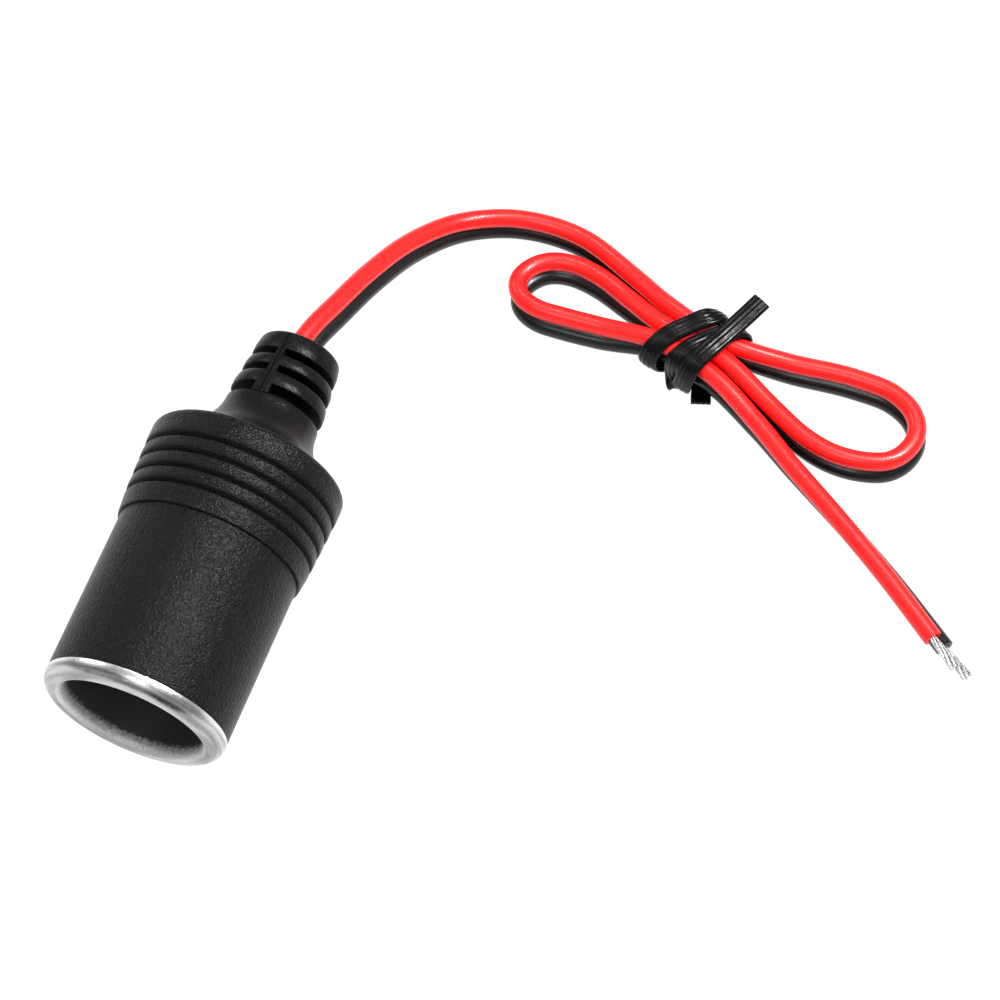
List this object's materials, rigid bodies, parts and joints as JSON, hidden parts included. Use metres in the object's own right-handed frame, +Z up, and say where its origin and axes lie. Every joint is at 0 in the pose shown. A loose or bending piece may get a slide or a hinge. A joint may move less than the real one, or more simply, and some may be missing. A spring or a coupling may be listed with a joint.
{
  "type": "car 12v power socket",
  "caption": "Female 12 volt car power socket with a metal-lined round bore, black boot and strain relief, and a tied red and black twin lead with bare ends.",
  "frame": {"origin": "on the surface the socket lies on, under the middle of the socket without its lead", "axes": "+Y from the mouth to the tail of the socket, +Z up from the surface, +X to the side on which the lead is folded"},
  "size_m": [0.1243, 0.1073, 0.0305],
  "materials": {
    "sleeve_plastic": "matte, fine spark-eroded grain",
    "plated_steel": "bright nickel plate, lightly brushed",
    "boot_vinyl": "satin soft vinyl, fine grain on the collar, smooth neck",
    "inner_plastic": "natural moulded",
    "fibre_board": "pressed fibre board",
    "contact_brass": "stamped and turned",
    "tab_steel": "tin plated",
    "solder": "bright solder",
    "bare_copper": "bare strands",
    "red_vinyl": "glossy extruded vinyl",
    "black_vinyl": "glossy extruded vinyl",
    "tinned_copper": "tinned twisted strands",
    "tie_vinyl": "glossy ribbed vinyl"
  },
  "bodies": {
    "root": {"outer_sleeve": "sleeve_plastic", "socket_liner": "plated_steel", "rear_boot": "boot_vinyl", "inner_cap": "inner_plastic", "front_insulator": "fibre_board", "centre_contact": "contact_brass", "rear_insulator": "fibre_board", "contact_rivet": "contact_brass", "rivet_washer": "contact_brass", "positive_tab": "contact_brass", "ground_tab": "tab_steel", "positive_solder": "solder", "ground_solder": "solder", "red_core_joint": "bare_copper", "black_core_joint": "bare_copper", "red_wire": "red_vinyl", "black_wire": "black_vinyl", "red_lead_end": "tinned_copper", "black_lead_end": "tinned_copper", "cord_tie": "tie_vinyl"}
  },
  "joints": []
}
